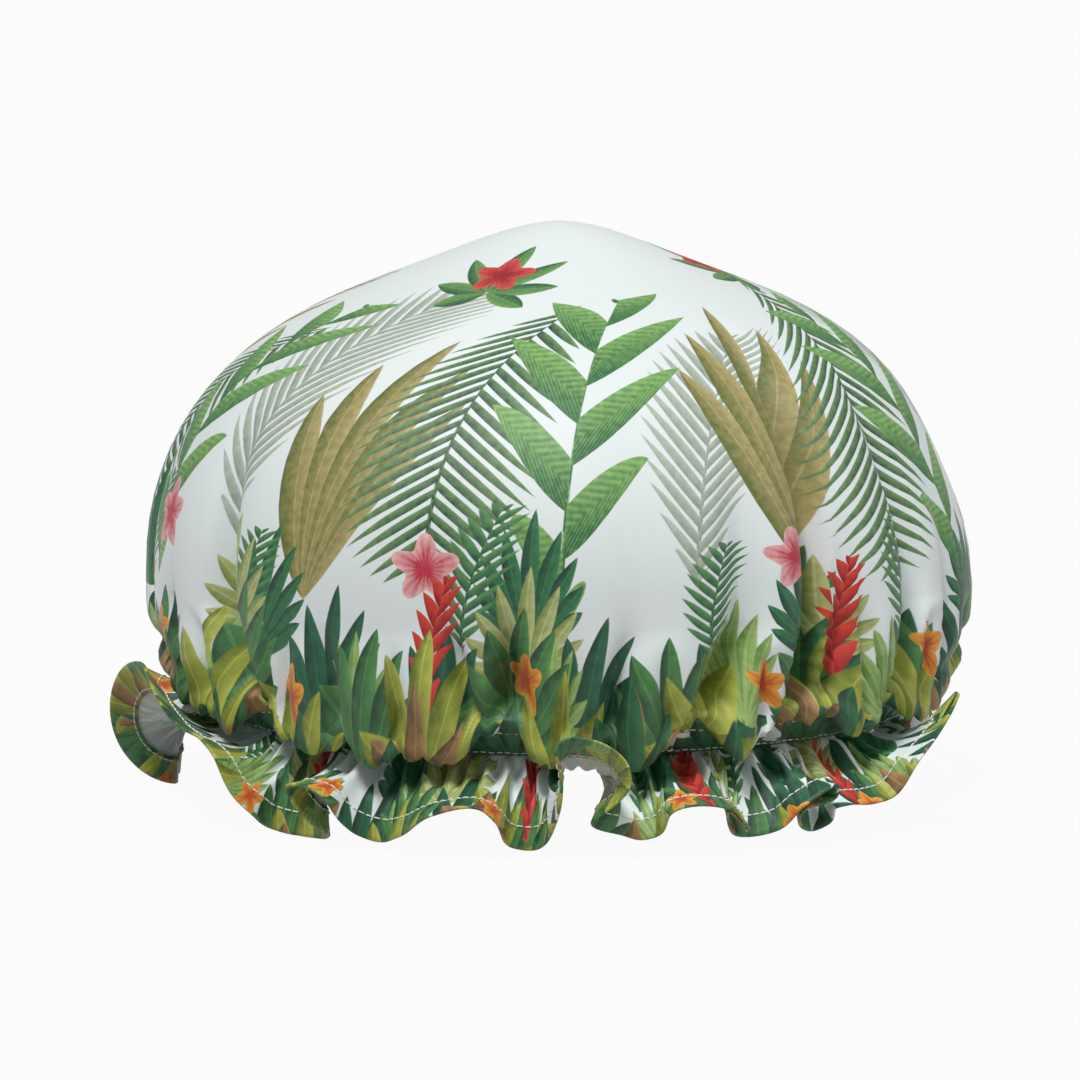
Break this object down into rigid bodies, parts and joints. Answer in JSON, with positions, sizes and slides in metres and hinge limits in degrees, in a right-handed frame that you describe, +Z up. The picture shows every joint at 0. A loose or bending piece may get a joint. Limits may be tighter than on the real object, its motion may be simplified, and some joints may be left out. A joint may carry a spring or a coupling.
{
  "type": "shower cap",
  "caption": "Lined cloth shower cap: a full domed crown gathered by a hidden elastic into a round opening, with a hemmed, fluted ruffle round the edge.",
  "frame": {"origin": "centre of the mouth, on the surface that the hem stands on", "axes": "+Z up through the top of the crown, -Y towards the front in the picture, +X to its right"},
  "size_m": [0.326, 0.325, 0.2057],
  "materials": {
    "printed_satin": "printed polyester satin, soft sheen",
    "lining_film": "soft translucent waterproof film",
    "casing_tape": "plain woven tape",
    "elastic": "braided flat elastic",
    "thread": "spun polyester thread"
  },
  "bodies": {
    "cap": {"outer_crown": "printed_satin", "waterproof_lining": "lining_film", "ruffle": "printed_satin", "elastic_casing": "casing_tape", "casing_top_stitch": "thread", "casing_bottom_stitch": "thread", "ruffle_hem_stitch": "thread", "ruffle_end_seam": "thread"},
    "elastic": {"elastic_band": "elastic", "elastic_lap_tack": "thread"}
  },
  "joints": [
    {"name": "elastic_turn", "type": "hinge", "parent": "cap", "child": "elastic", "pos_m": [0, 0, 0.0372], "axis": [0, 0, 1], "continuous": true}
  ]
}
